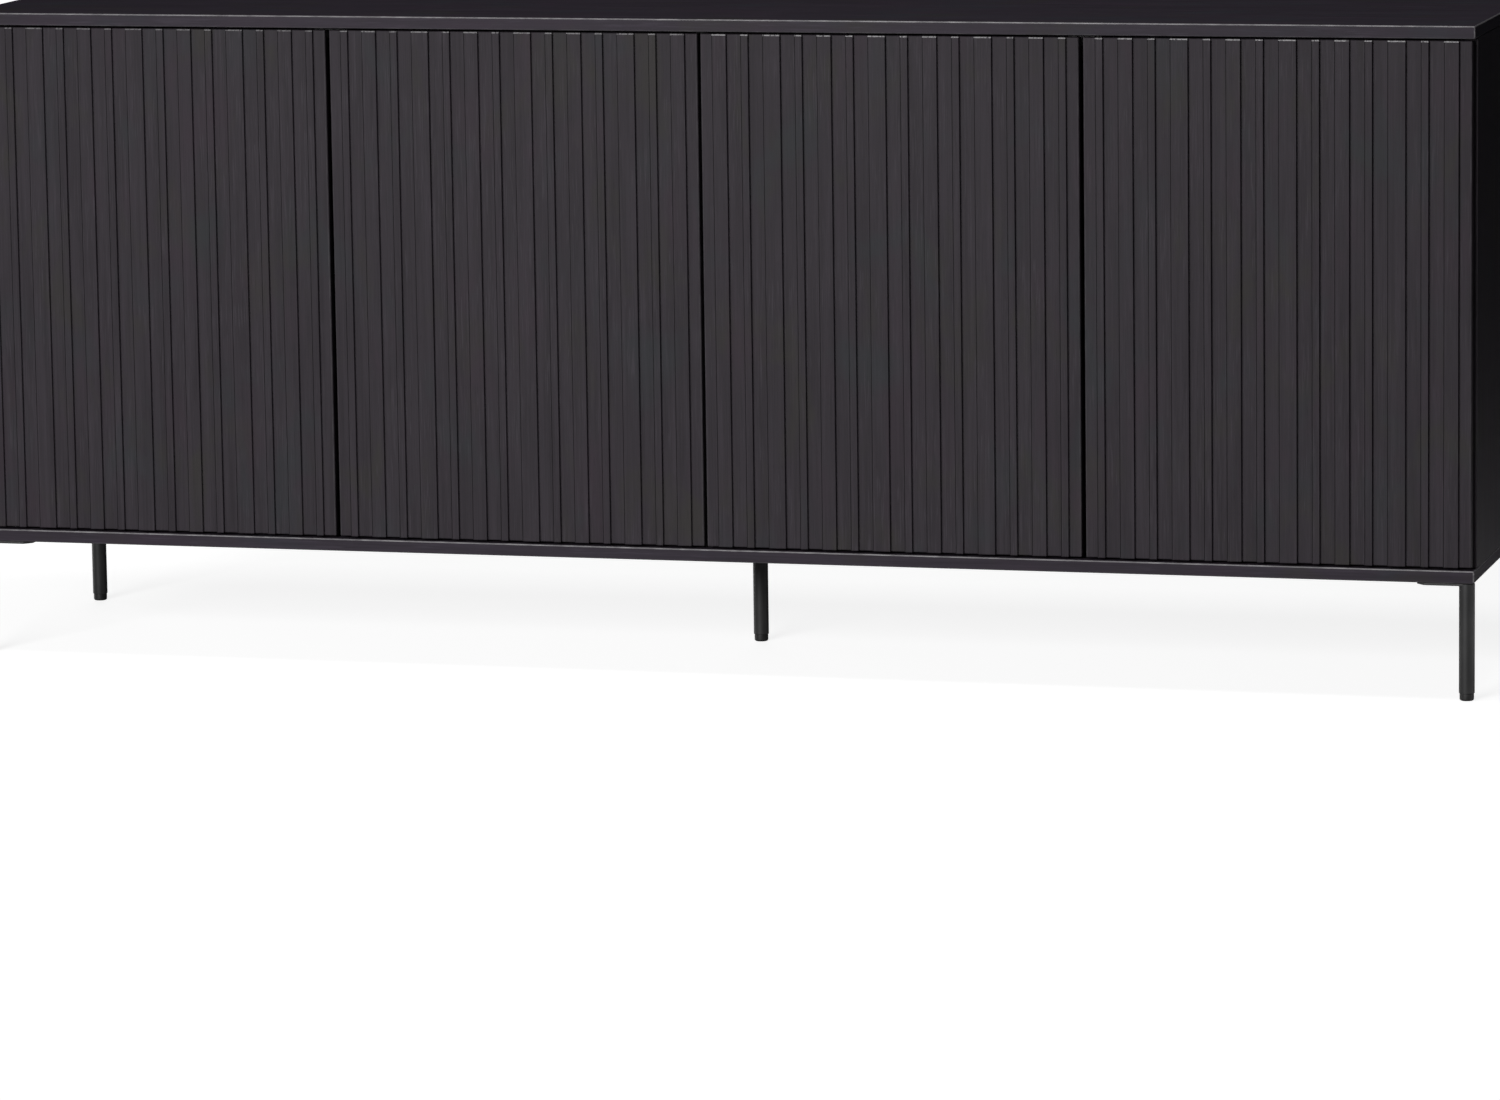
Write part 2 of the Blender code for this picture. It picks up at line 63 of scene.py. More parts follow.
CAMERA_PLACE = (2.4436, -8.9988, 1.6155)
CAMERA_ANGLES = (9.0479, -15.1876, -0.7924)  # degrees down, to the right and of roll
CAMERA_LENS = 171.78
WORLD_LIGHT = 0.015  # what the surroundings send out
WORLD_SEEN = 1.05  # what the camera sees of them
FLOOR_RADIUS = 2.6
FLOOR_GREY = 0.45


def add_camera():
    """The photograph's view: a long lens, a little above the top and to the right."""
    pitch, yaw, roll = (math.radians(a) for a in CAMERA_ANGLES)
    forward = Vector(
        (math.sin(yaw) * math.cos(pitch), math.cos(yaw) * math.cos(pitch), -math.sin(pitch))
    )
    level = Vector((math.cos(yaw), -math.sin(yaw), 0.0))
    above = level.cross(forward)
    right = math.cos(roll) * level + math.sin(roll) * above
    up = math.cos(roll) * above - math.sin(roll) * level
    data = bpy.data.cameras.new("camera")
    data.lens = CAMERA_LENS
    data.sensor_width = 36.0
    data.sensor_fit = "HORIZONTAL"
    data.clip_start = 0.1
    data.clip_end = 200.0
    camera = bpy.data.objects.new("camera", data)
    turn = Matrix((right, up, -forward)).transposed().to_4x4()
    camera.matrix_world = Matrix.Translation(CAMERA_PLACE) @ turn
    bpy.context.collection.objects.link(camera)
    bpy.context.scene.camera = camera


def add_softbox(name, place, target, size, power):
    """A rectangular light in metres and watts, aimed at a target and unseen by the camera."""
    data = bpy.data.lights.new(name, "AREA")
    data.shape = "RECTANGLE"
    data.size, data.size_y = size
    data.energy = power
    light = bpy.data.objects.new(name, data)
    aim = Vector(target) - Vector(place)
    light.location = place
    light.rotation_euler = aim.to_track_quat("-Z", "Y").to_euler()
    light.visible_camera = False
    bpy.context.collection.objects.link(light)


def add_lights():
    """The key from the front left, one over the top, and low ones for the legs and the side."""
    add_softbox("key", (-1.7, -7.1, 2.5), (0.0, 0.0, 0.4), (3.6, 2.0), 405.0)
    add_softbox("overhead", (0.3, -0.5, 3.4), (0.3, -0.1, 0.85), (2.2, 0.6), 26.5)
    add_softbox("low_back", (-2.4, 6.0, 0.42), (-0.4, 0.0, 0.40), (5.0, 0.7), 150.0)
    add_softbox("low_left", (-6.0, 1.8, 0.42), (-1.0, 0.2, 0.40), (3.0, 0.7), 90.0)
    add_softbox("bounce", (1.35, 0.0, 0.02), (1.0, 0.0, 0.12), (1.0, 0.06), 0.45)


def add_world():
    """White behind the object, with only a little light coming from it."""
    world = bpy.data.worlds.new("studio")
    bpy.context.scene.world = world
    world.use_nodes = True
    tree = world.node_tree
    tree.nodes.clear()
    seen = node(tree, "ShaderNodeLightPath").outputs["Is Camera Ray"]
    sky, white = (0.86, 0.90, 1.0, 1.0), (1.0, 1.0, 1.0, 1.0)
    dim = node(tree, "ShaderNodeBackground", {"Color": sky, "Strength": WORLD_LIGHT})
    bright = node(tree, "ShaderNodeBackground", {"Color": white, "Strength": WORLD_SEEN})
    both = node(tree, "ShaderNodeMixShader", {0: seen, 1: dim.outputs[0], 2: bright.outputs[0]})
    node(tree, "ShaderNodeOutputWorld", {"Surface": both.outputs[0]})


def add_floor():
    """A pale disc that glows for the camera, a little less near the legs, and is grey in light."""
    bm = bmesh.new()
    bmesh.ops.create_circle(bm, cap_ends=True, segments=96, radius=FLOOR_RADIUS)
    mesh = bpy.data.meshes.new("floor")
    bm.to_mesh(mesh)
    bm.free()
    floor = bpy.data.objects.new("floor", mesh)
    bpy.context.collection.objects.link(floor)
    material, tree, shader = new_material("floor_pale")
    shader.inputs["Base Color"].default_value = (FLOOR_GREY, FLOOR_GREY, FLOOR_GREY, 1.0)
    shader.inputs["Roughness"].default_value = 0.9
    shader.inputs["Specular IOR Level"].default_value = 0.1
    shader.inputs["Emission Color"].default_value = (1.0, 1.0, 1.0, 1.0)
    seen = node(tree, "ShaderNodeLightPath").outputs["Is Camera Ray"]
    place = node(tree, "ShaderNodeTexCoord").outputs["Object"]
    reach = node(tree, "ShaderNodeVectorMath", {0: place}, operation="LENGTH").outputs["Value"]
    glow = span(tree, reach, 1.2, 0.92 * FLOOR_RADIUS, 0.82, WORLD_SEEN)
    tree.links.new(product(tree, seen, glow), shader.inputs["Emission Strength"])
    mesh.materials.append(material)


# Material nodes

EVEN = (1.0, 1.0, 1.0)


def node(tree, kind, inputs=None, **settings):
    """A new node, with each input linked to a socket or set to a value."""
    made = tree.nodes.new(kind)
    for key, value in settings.items():
        setattr(made, key, value)
    for key, value in (inputs or {}).items():
        if isinstance(value, bpy.types.NodeSocket):
            tree.links.new(value, made.inputs[key])
        else:
            made.inputs[key].default_value = value
    return made


def new_material(name):
    material = bpy.data.materials.new(name)
    material.use_nodes = True
    tree = material.node_tree
    return material, tree, tree.nodes["Principled BSDF"]


def noise(tree, stretch, scale, detail=3.0, roughness=0.5, distortion=0.0, shift=(0.0, 0.0, 0.0)):
    """Object-space noise; scale is per metre, and stretch multiplies it along each axis."""
    place = node(tree, "ShaderNodeTexCoord").outputs["Object"]
    spread = node(tree, "ShaderNodeMapping", {"Vector": place, "Scale": stretch, "Location": shift})
    made = node(
        tree,
        "ShaderNodeTexNoise",
        {
            "Vector": spread.outputs["Vector"],
            "Scale": scale,
            "Detail": detail,
            "Roughness": roughness,
            "Distortion": distortion,
        },
    )
    return made.outputs["Fac"]


def along(axis, amount):
    """Noise stretch for a pattern drawn out along one axis."""
    return tuple(amount if a == axis else 1.0 for a in "xyz")


def mark(tree, layer):
    """What a face layer of the mesh says."""
    return node(tree, "ShaderNodeAttribute", attribute_name=layer).outputs["Fac"]


def ramp(tree, value, stops):
    """A colour from a value, through (position, colour) stops."""
    made = node(tree, "ShaderNodeValToRGB", {"Fac": value})
    points = made.color_ramp.elements
    while len(points) < len(stops):
        points.new(0.5)
    for point, (position, colour) in zip(points, stops):
        point.position = position
        point.color = (*colour, 1.0)
    return made.outputs["Color"]


def span(tree, value, low, high, to_low=0.0, to_high=1.0):
    """A value's range from low to high, mapped to another one and held within it."""
    made = node(
        tree,
        "ShaderNodeMapRange",
        {"Value": value, "From Min": low, "From Max": high, "To Min": to_low, "To Max": to_high},
    )
    return made.outputs["Result"]


def maths(tree, operation, first, second):
    made = node(tree, "ShaderNodeMath", {0: first, 1: second}, operation=operation)
    return made.outputs[0]


def product(tree, first, second):
    return maths(tree, "MULTIPLY", first, second)


def mixture(tree, first, share, second):
    """Share of the first value and the rest of the second."""
    return maths(tree, "ADD", product(tree, first, share), product(tree, second, 1.0 - share))


def blend_colour(tree, amount, first, second, kind="MIX"):
    """The first colour with the second over it by an amount."""
    made = node(tree, "ShaderNodeMix", data_type="RGBA", blend_type=kind)
    sockets = {s.identifier: s for s in made.inputs}
    for key, value in (("Factor_Float", amount), ("A_Color", first), ("B_Color", second)):
        if isinstance(value, bpy.types.NodeSocket):
            tree.links.new(value, sockets[key])
        elif key == "Factor_Float":
            sockets[key].default_value = value
        else:
            sockets[key].default_value = (*value, 1.0)
    return next(s for s in made.outputs if s.identifier == "Result_Color")


def bump(tree, shader, height, distance, strength=0.5):
    made = node(
        tree, "ShaderNodeBump", {"Height": height, "Distance": distance, "Strength": strength}
    )
    tree.links.new(made.outputs["Normal"], shader.inputs["Normal"])


def tinted(colour, factors):
    return tuple(c * k for c, k in zip(colour, factors))


def shaded(colour, factor):
    return tinted(colour, (factor,) * 3)


# Materials

BLACK_DARK = (0.0305, 0.0255, 0.0312)
BLACK_LIGHT = (0.0410, 0.0345, 0.0420)
INNER_DARK = (0.0300, 0.0285, 0.0300)
INNER_LIGHT = (0.0410, 0.0390, 0.0405)
TOP_TINT = (1.0, 0.96, 1.08)
# Painted highlights on rounded edges, in a worn pattern: the lighter colour of most edges, and the
# brighter one of the top and bottom boards.
EDGE_HIGHLIGHT_AND_WEAR = (0.170, 0.163, 0.170)
TOP_EDGE_HIGHLIGHT_AND_WEAR = (0.33, 0.32, 0.33)
# A painted highlight for the rib tops, broken up like chips.
RIB_TOP_HIGHLIGHT = (0.44, 0.43, 0.44)
BRUSHED_TINT = (1.5, 1.55, 1.53)
GRAIN = (0.36, 0.64)  # nearly all of the grain's values lie between these
PATCHES = (  # stretch along the grain, scale, shift, and tint
    (0.55, 15.0, (3.1, 1.7, 0.4), (0.92, 1.02, 0.74)),  # olive
    (0.55, 13.0, (7.3, 2.9, 5.2), (0.80, 1.04, 0.96)),  # teal
    (0.40, 17.0, (1.9, 8.3, 6.1), (1.02, 0.88, 0.95)),  # rust
)


def stain(tree, axis, dark, light, grain, pores):
    """The stain's colour: grain, faint coloured patches, dark pores and thin brushed lines."""
    base = ramp(tree, grain, ((GRAIN[0], dark), (GRAIN[1], light)))
    for stretch, scale, shift, factors in PATCHES:
        patch = noise(
            tree, along(axis, stretch), scale, roughness=0.55, distortion=0.4, shift=shift
        )
        amount = span(tree, patch, 0.55, 0.70, 0.0, 0.65)
        base = blend_colour(tree, amount, base, tinted(light, factors))
    base = blend_colour(tree, 1.0, base, span(tree, grain, *GRAIN, 0.91, 1.09), "MULTIPLY")
    base = blend_colour(tree, product(tree, pores, 0.35), base, shaded(dark, 0.45))
    lines = noise(tree, along(axis, 0.034), 620.0, detail=2.0, shift=(0.7, 0.3, 0.9))
    areas = noise(tree, along(axis, 0.5), 22.0, detail=2.0, shift=(4.4, 6.2, 2.8))
    brushed = product(tree, span(tree, lines, 0.56, 0.66), span(tree, areas, 0.42, 0.56))
    return blend_colour(tree, product(tree, brushed, 0.5), base, tinted(light, BRUSHED_TINT))


def painted_light_and_wear(tree, axis, base, dark, edge):
    """Painted highlights on the roundings, in a worn pattern, painted shade as a dark line along
    the rib arrises, and painted highlights on the rib tops, broken up like chips, on the faces
    marked for them.
    """
    edge_breakup = noise(tree, along(axis, 0.25), 160.0, detail=4.0, roughness=0.65)
    edge_breakup = span(tree, edge_breakup, 0.42, 0.66, 0.45, 1.0)
    # painted highlight on the marked roundings, in a worn pattern
    base = blend_colour(tree, product(tree, mark(tree, "edge"), edge_breakup), base, edge)
    # painted shade: a dark line along each rib's far arris
    shadow = product(tree, mark(tree, "arris"), 0.9)
    base = blend_colour(tree, shadow, base, shaded(dark, 0.1))
    # painted highlight on the rib tops, broken up like chips
    broken_tip_highlight = span(tree, noise(tree, along("z", 0.3), 330.0, detail=4.0, roughness=0.7), 0.36, 0.52)
    return blend_colour(tree, product(tree, mark(tree, "tip"), broken_tip_highlight), base, RIB_TOP_HIGHLIGHT)


def lacquer(name, axis, dark, light, rough=(0.46, 0.58), edge=EDGE_HIGHLIGHT_AND_WEAR):
    """Black-stained wood under a satin coat, with the grain along one axis."""
    material, tree, shader = new_material(name)
    figure = noise(tree, along(axis, 0.045), 95.0, detail=5.0, roughness=0.6, distortion=0.35)
    streaks = noise(tree, along(axis, 0.012), 620.0, roughness=0.6)
    grain = mixture(tree, figure, 0.6, streaks)
    pores = span(tree, noise(tree, along(axis, 0.030), 1500.0, detail=2.0), 0.60, 0.72)
    base = stain(tree, axis, dark, light, grain, pores)
    # painted highlights on the roundings and rib tops, and painted shade along the rib arrises,
    # over the stain
    base = painted_light_and_wear(tree, axis, base, dark, edge)
    tree.links.new(base, shader.inputs["Base Color"])
    shader.inputs["Specular IOR Level"].default_value = 0.15
    sheen = span(tree, grain, 0.30, 0.70, *rough)
    polish = product(tree, mark(tree, "edge"), -0.18)
    tree.links.new(maths(tree, "ADD", sheen, polish), shader.inputs["Roughness"])
    bump(tree, shader, maths(tree, "SUBTRACT", grain, product(tree, pores, 0.5)), 0.10 * MM)
    return material


def fibreboard(name):
    """Thin hardboard with a printed dark face: fine fibres and faint mottling."""
    material, tree, shader = new_material(name)
    fibres = noise(tree, EVEN, 900.0, detail=5.0, roughness=0.7, distortion=1.2)
    colour = ramp(tree, fibres, ((0.30, (0.030, 0.028, 0.027)), (0.70, (0.058, 0.055, 0.053))))
    mottle = span(tree, noise(tree, EVEN, 35.0), 0.4, 0.7, 0.0, 0.35)
    colour = blend_colour(tree, mottle, colour, (0.030, 0.029, 0.030))
    tree.links.new(colour, shader.inputs["Base Color"])
    tree.links.new(span(tree, fibres, 0.3, 0.7, 0.62, 0.80), shader.inputs["Roughness"])
    bump(tree, shader, fibres, 0.06 * MM, 0.6)
    return material


def powder_coat(name):
    """Matt black powder coat: a fine orange peel, and rubbed spots on the edges."""
    material, tree, shader = new_material(name)
    peel = noise(tree, EVEN, 1300.0, detail=2.0)
    soft = noise(tree, along("z", 0.4), 70.0)
    colour = ramp(tree, soft, ((0.35, (0.024, 0.024, 0.0245)), (0.65, (0.036, 0.0355, 0.036))))
    edge_breakup = span(tree, noise(tree, EVEN, 260.0, roughness=0.6), 0.50, 0.66)
    edge_breakup = product(tree, mark(tree, "edge"), edge_breakup)
    colour = blend_colour(tree, edge_breakup, colour, (0.11, 0.105, 0.10))
    tree.links.new(colour, shader.inputs["Base Color"])
    tree.links.new(span(tree, peel, 0.3, 0.7, 0.40, 0.54), shader.inputs["Roughness"])
    bump(tree, shader, peel, 0.02 * MM)
    return material


def moulded(name, dark, light, rough=(0.42, 0.58)):
    """Moulded plastic with a fine spark-eroded texture."""
    material, tree, shader = new_material(name)
    spark = noise(tree, EVEN, 2200.0, detail=2.0, roughness=0.6)
    flow = noise(tree, EVEN, 120.0, detail=2.0)
    colour = ramp(tree, flow, ((0.35, dark), (0.65, light)))
    tree.links.new(colour, shader.inputs["Base Color"])
    tree.links.new(span(tree, spark, 0.3, 0.7, *rough), shader.inputs["Roughness"])
    bump(tree, shader, spark, 0.03 * MM)
    return material


def plated(name, axis, dark, light, rough=(0.20, 0.38)):
    """Plated pressed steel: rolling lines and dull patches."""
    material, tree, shader = new_material(name)
    rolled = noise(tree, along(axis, 0.03), 1600.0, roughness=0.6)
    dull = noise(tree, EVEN, 130.0, detail=4.0, roughness=0.6)
    colour = ramp(tree, dull, ((0.32, dark), (0.68, light)))
    tree.links.new(colour, shader.inputs["Base Color"])
    shader.inputs["Metallic"].default_value = 1.0
    patchy = mixture(tree, rolled, 0.4, dull)
    tree.links.new(span(tree, patchy, 0.35, 0.65, *rough), shader.inputs["Roughness"])
    bump(tree, shader, rolled, 0.02 * MM)
    return material


LOOKS = {
    "top": lacquer(
        "lacquer_top",
        "x",
        tinted(BLACK_DARK, TOP_TINT),
        tinted(BLACK_LIGHT, TOP_TINT),
        edge=TOP_EDGE_HIGHLIGHT_AND_WEAR,
    ),
    "upright": lacquer("lacquer_upright", "z", BLACK_DARK, BLACK_LIGHT),
    "inner_upright": lacquer("inner_upright", "z", INNER_DARK, INNER_LIGHT, (0.44, 0.58)),
    "inner_flat": lacquer("inner_flat", "x", INNER_DARK, INNER_LIGHT, (0.44, 0.58)),
    "back": fibreboard("hardboard"),
    "coat": powder_coat("powder_coat"),
    "glide": moulded("glide_nylon", (0.012, 0.012, 0.012), (0.020, 0.020, 0.020)),
    "latch": moulded("latch_body", (0.060, 0.060, 0.062), (0.080, 0.080, 0.082)),
    "plunger": moulded("plunger_tip", (0.30, 0.30, 0.29), (0.36, 0.36, 0.35)),
    "steel": plated("nickel", "y", (0.42, 0.41, 0.39), (0.60, 0.59, 0.57)),
    "blackened": moulded(
        "blackened_steel", (0.020, 0.020, 0.021), (0.034, 0.033, 0.034), (0.30, 0.44)
    ),
    "zinc": plated("zinc", "x", (0.46, 0.47, 0.48), (0.62, 0.63, 0.64), (0.26, 0.44)),
}


# Meshes

CORNER = 40.0  # degrees: edges sharper than this are eased, and stay sharp in the shading
FLAT = 0.999  # a face whose normal is nearer an axis than this is flat


def finish_piece(name, bm, look, body, sharp=CORNER, replaces=()):
    """The bmesh as a named piece, smooth but for its sharp edges."""
    bmesh.ops.recalc_face_normals(bm, faces=bm.faces)
    for face in bm.faces:
        face.smooth = True
    for edge in bm.edges:
        if len(edge.link_faces) == 2 and edge.calc_face_angle(0.0) > math.radians(sharp):
            edge.smooth = False
    mesh = bpy.data.meshes.new(name)
    bm.to_mesh(mesh)
    bm.free()
    mesh.materials.append(LOOKS[look])
    piece = bpy.data.objects.new(name, mesh)
    bpy.context.collection.objects.link(piece)
    weight = piece.modifiers.new("Normals", "WEIGHTED_NORMAL")
    weight.keep_sharp = True
    weight.weight = 100
    if body:
        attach(piece, body)
    if replaces:
        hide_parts(*replaces)
    return piece


def edge_layer(bm):
    """The face layer that says how much of a look's edge colour a face takes: painted highlight in
    a worn pattern on the lacquer, rubbed wear on the powder coat.
    """
    return bm.faces.layers.float.get("edge") or bm.faces.layers.float.new("edge")


def quarter_turn(steps):
    """The cosine and sine of each angle from 0 to 90 degrees."""
    angles = [math.pi / 2 * k / steps for k in range(steps + 1)]
    return [(math.cos(a), math.sin(a)) for a in angles]


def skin(bm, rings):
    """Faces between rings of vertices, given back ring by ring, and a cap at each end."""
    sides = []
    count = len(rings[0])
    for low, high in zip(rings, rings[1:]):
        faces = []
        for k in range(count):
            n = (k + 1) % count
            faces.append(bm.faces.new((low[k], low[n], high[n], high[k])))
        sides.append(faces)
    bm.faces.new(rings[0])
    bm.faces.new(rings[-1])
    return sides


def box_into(bm, low, high, radius, segments, profile=0.5):
    """A box with rounded edges, marked so that its look can paint a highlight and wear on them."""
    layer = edge_layer(bm)
    size = [h - l for l, h in zip(low, high)]
    middle = [(l + h) / 2 for l, h in zip(low, high)]
    place = Matrix.Translation(middle) @ Matrix.Diagonal((*size, 1.0))
    verts = bmesh.ops.create_cube(bm, size=1.0, matrix=place)["verts"]
    edges = list({e for v in verts for e in v.link_edges})
    made = bmesh.ops.bevel(
        bm, geom=edges, offset=radius, segments=segments, profile=profile, affect="EDGES"
    )
    for face in made["faces"]:
        face[layer] = 1.0


def lathe_into(bm, profile, sides, place, closed=False):
    """Turns (radius, height) points round the local Z axis, then puts them in place.

    A closed profile makes a ring, and an open one is capped unless it ends on the axis.
    """
    edge_layer(bm)
    rings = []
    for radius, height in profile:
        if radius < 1e-7:
            rings.append([bm.verts.new(place @ Vector((0.0, 0.0, height)))])
            continue
        ring = []
        for k in range(sides):
            a = 2 * math.pi * k / sides
            point = Vector((radius * math.cos(a), radius * math.sin(a), height))
            ring.append(bm.verts.new(place @ point))
        rings.append(ring)
    pairs = list(zip(rings, rings[1:]))
    if closed:
        pairs.append((rings[-1], rings[0]))
    for low, high in pairs:
        for k in range(sides):
            n = (k + 1) % sides
            if len(low) == 1:
                bm.faces.new((low[0], high[n], high[k]))
            elif len(high) == 1:
                bm.faces.new((low[k], low[n], high[0]))
            else:
                bm.faces.new((low[k], low[n], high[n], high[k]))
    for ring in (rings[0], rings[-1]):
        if len(ring) > 1 and not closed:
            bm.faces.new(ring)


def axis_place(place, direction):
    """A frame at a point with its Z axis along a direction."""
    turn = Vector(direction).to_track_quat("Z", "X").to_matrix().to_4x4()
    return Matrix.Translation(place) @ turn


def cad_mesh(node_name):
    """The node's CAD mesh, welded, with its flat faces made whole."""
    bm = bmesh.new()
    bm.from_mesh(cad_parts[node_name].data)
    bmesh.ops.remove_doubles(bm, verts=bm.verts, dist=1e-6)
    bmesh.ops.dissolve_limit(
        bm,
        angle_limit=math.radians(0.5),
        verts=bm.verts,
        edges=bm.edges,
        use_dissolve_boundaries=False,
    )
    return bm


def refine(node_name, look, body, bevel=0.0, segments=2, rounding_highlight_and_wear=0.0):
    """A piece made from the CAD mesh, with its sharp edges eased, and its eased edges and CAD
    roundings marked for a painted highlight and wear.
    """
    bm = cad_mesh(node_name)
    layer = edge_layer(bm)
    if bevel:
        edges = [
            e
            for e in bm.edges
            if len(e.link_faces) == 2 and e.calc_face_angle(0.0) > math.radians(CORNER)
        ]
        made = bmesh.ops.bevel(
            bm,
            geom=edges,
            offset=bevel,
            segments=segments,
            profile=0.5,
            affect="EDGES",
            clamp_overlap=True,
        )
        for face in made["faces"]:
            face[layer] = 1.0
    for face in bm.faces:
        face.normal_update()
        # the CAD roundings take a painted highlight and wear of this strength
        if rounding_highlight_and_wear and max(abs(n) for n in face.normal) < FLAT:
            face[layer] = rounding_highlight_and_wear
    finish_piece(f"{node_name}_shape", bm, look, body, replaces=(node_name,))


# Boards

LOW_EDGE_HIGHLIGHT_AND_WEAR = 0.25  # how much painted highlight and wear a board's lower edges take, next to its upper ones, which face the light


def add_board(node_name, look, radius=1.5 * MM, segments=5, profile=0.33):
    """A plain board with rounded edges; its lower edges take less painted highlight and wear."""
    low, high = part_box(node_name)
    bm = bmesh.new()
    box_into(bm, low, high, radius, segments, profile)
    layer = edge_layer(bm)
    for face in bm.faces:
        face.normal_update()
        if face.normal.z < -0.1:
            face[layer] *= LOW_EDGE_HIGHLIGHT_AND_WEAR
    finish_piece(
        f"{node_name}_board", bm, look, "carcass", sharp=60.0, replaces=(node_name,)
    )


def add_boards():
    add_board("top_panel", "top")
    add_board("bottom_panel", "top")
    for end in ENDS:
        # A painted highlight on the side panels' CAD roundings, which lie in the doors' shadow.
        refine(f"side_panel_{end}", "upright", "carcass", rounding_highlight_and_wear=0.8)
        add_board(f"shelf_{end}", "inner_flat", 0.8 * MM, 3)
    refine("centre_partition", "inner_upright", "carcass")
    refine("back_panel", "back", "carcass", 0.3 * MM, 1)


# Doors

ARC_STEPS = 3
END_STEPS = 4
END_ROUND = 1.6 * MM
BOARD_ROUND = 2.0 * MM
BACK_ROUND = 1.0 * MM
RIB_ROUND = 0.8 * MM
FAR_RIB_ROUND = 1.1 * MM
ROOT_ROUND = 0.3 * MM
SIDE_INSET = 0.35 * MM  # the most that the sides draw in at a door's ends
# A painted highlight and wear on each door board's rounded edges.
BOARD_EDGE_HIGHLIGHT_AND_WEAR = 0.25
RIB_TOP_HIGHLIGHT_SHARE = (0.45, 0.60, 0.90, 1.0)  # how strong the painted highlight on the rib tops of doors 1 to 4 is, brighter to the right
FIRST_RIB = 3  # the outline's first rib corner; each rib has four, from its right root on
NEAR_EDGE, FAR_EDGE = 1, 2  # a rib's right and left front edges among those four
CUP_BORE = 17.5 * MM


def rib_spans(number):
    """The left and right side of each rib, from the CAD door's front faces."""
    low, _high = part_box(f"door_{number}")
    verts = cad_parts[f"door_{number}"].data.vertices
    places = sorted({round(v.co.x, 5) for v in verts if abs(v.co.y - low.y) < 1e-5})
    return list(zip(places[::2], places[1::2]))


def fillet(points, steps):
    """Rounds each corner of a closed right-angled outline of (x, y, radius) points."""
    out = []
    for k, (x, y, radius) in enumerate(points):
        here = Vector((x, y))
        before = (Vector(points[k - 1][:2]) - here).normalized()
        after = (Vector(points[(k + 1) % len(points)][:2]) - here).normalized()
        centre = here + radius * (before + after)
        for c, s in quarter_turn(steps):
            out.append(centre - radius * (c * after + s * before))
    return out


def door_outline(low, high, groove, ribs, inset):
    """The door's section at a height: its front and back are drawn in by inset, its sides less."""
    side = min(inset, SIDE_INSET)
    left, right = low.x + side, high.x - side
    front, back, floor = low.y + inset, high.y - inset, groove + inset
    points = [
        (left, back, BACK_ROUND),
        (right, back, BACK_ROUND),
        (right, floor, BOARD_ROUND - side),
    ]
    for start, end in reversed(ribs):
        points.append((end - side, floor, ROOT_ROUND + side))
        points.append((end - side, front, RIB_ROUND - side))
        points.append((start + side, front, FAR_RIB_ROUND - side))
        points.append((start + side, floor, ROOT_ROUND + side))
    points.append((left, floor, BOARD_ROUND - side))
    return fillet(points, ARC_STEPS)


def door_levels(low, high):
    """(height, inset) of each section, with rounded ends."""
    ends = [
        (low.z + END_ROUND * (1 - c), END_ROUND * (1 - s)) for c, s in quarter_turn(END_STEPS)
    ]
    return ends + [(low.z + high.z - z, inset) for z, inset in reversed(ends)]


def mark_door_face(face, layers, k, level, corners, tip_highlight):
    """Marks the board's edges for painted highlight and wear, the ribs' far arrises for a painted
    dark line of shade, and the rib tops for a painted highlight broken up like chips.
    """
    board, arris, tip = layers
    corner, step = divmod(k, ARC_STEPS + 1)
    on_arc = step != ARC_STEPS
    place = (corner - FIRST_RIB) % 4
    if not FIRST_RIB <= corner < corners - 1:
        face[board] = BOARD_EDGE_HIGHLIGHT_AND_WEAR if on_arc else 0.0
    elif level == END_STEPS and place == FAR_EDGE and on_arc:
        face[arris] = 1.0
    elif level > END_STEPS and (place == NEAR_EDGE or (place == FAR_EDGE and on_arc)):
        face[tip] = tip_highlight


def add_door(number, bores):
    """A leaf with its ribs, made level by level, with the hinge cups' bores sunk into its back."""
    name = f"door_{number}"
    low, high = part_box(name)
    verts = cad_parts[name].data.vertices
    groove = min(round(v.co.y, 5) for v in verts if v.co.y > low.y + 1 * MM)
    ribs = rib_spans(number)
    bm = bmesh.new()
    layers = [bm.faces.layers.float.new(n) for n in ("edge", "arris", "tip")]
    rings = []
    for z, inset in door_levels(low, high):
        outline = door_outline(low, high, groove, ribs, inset)
        rings.append([bm.verts.new((p.x, p.y, z)) for p in outline])
    corners = len(rings[0]) // (ARC_STEPS + 1)
    for level, faces in enumerate(skin(bm, rings)):
        for k, face in enumerate(faces):
            mark_door_face(face, layers, k, level, corners, RIB_TOP_HIGHLIGHT_SHARE[number - 1])
    piece = finish_piece(f"{name}_leaf", bm, "upright", None, sharp=50.0)
    carve(piece, bores)
    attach(piece, name)
    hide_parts(name)


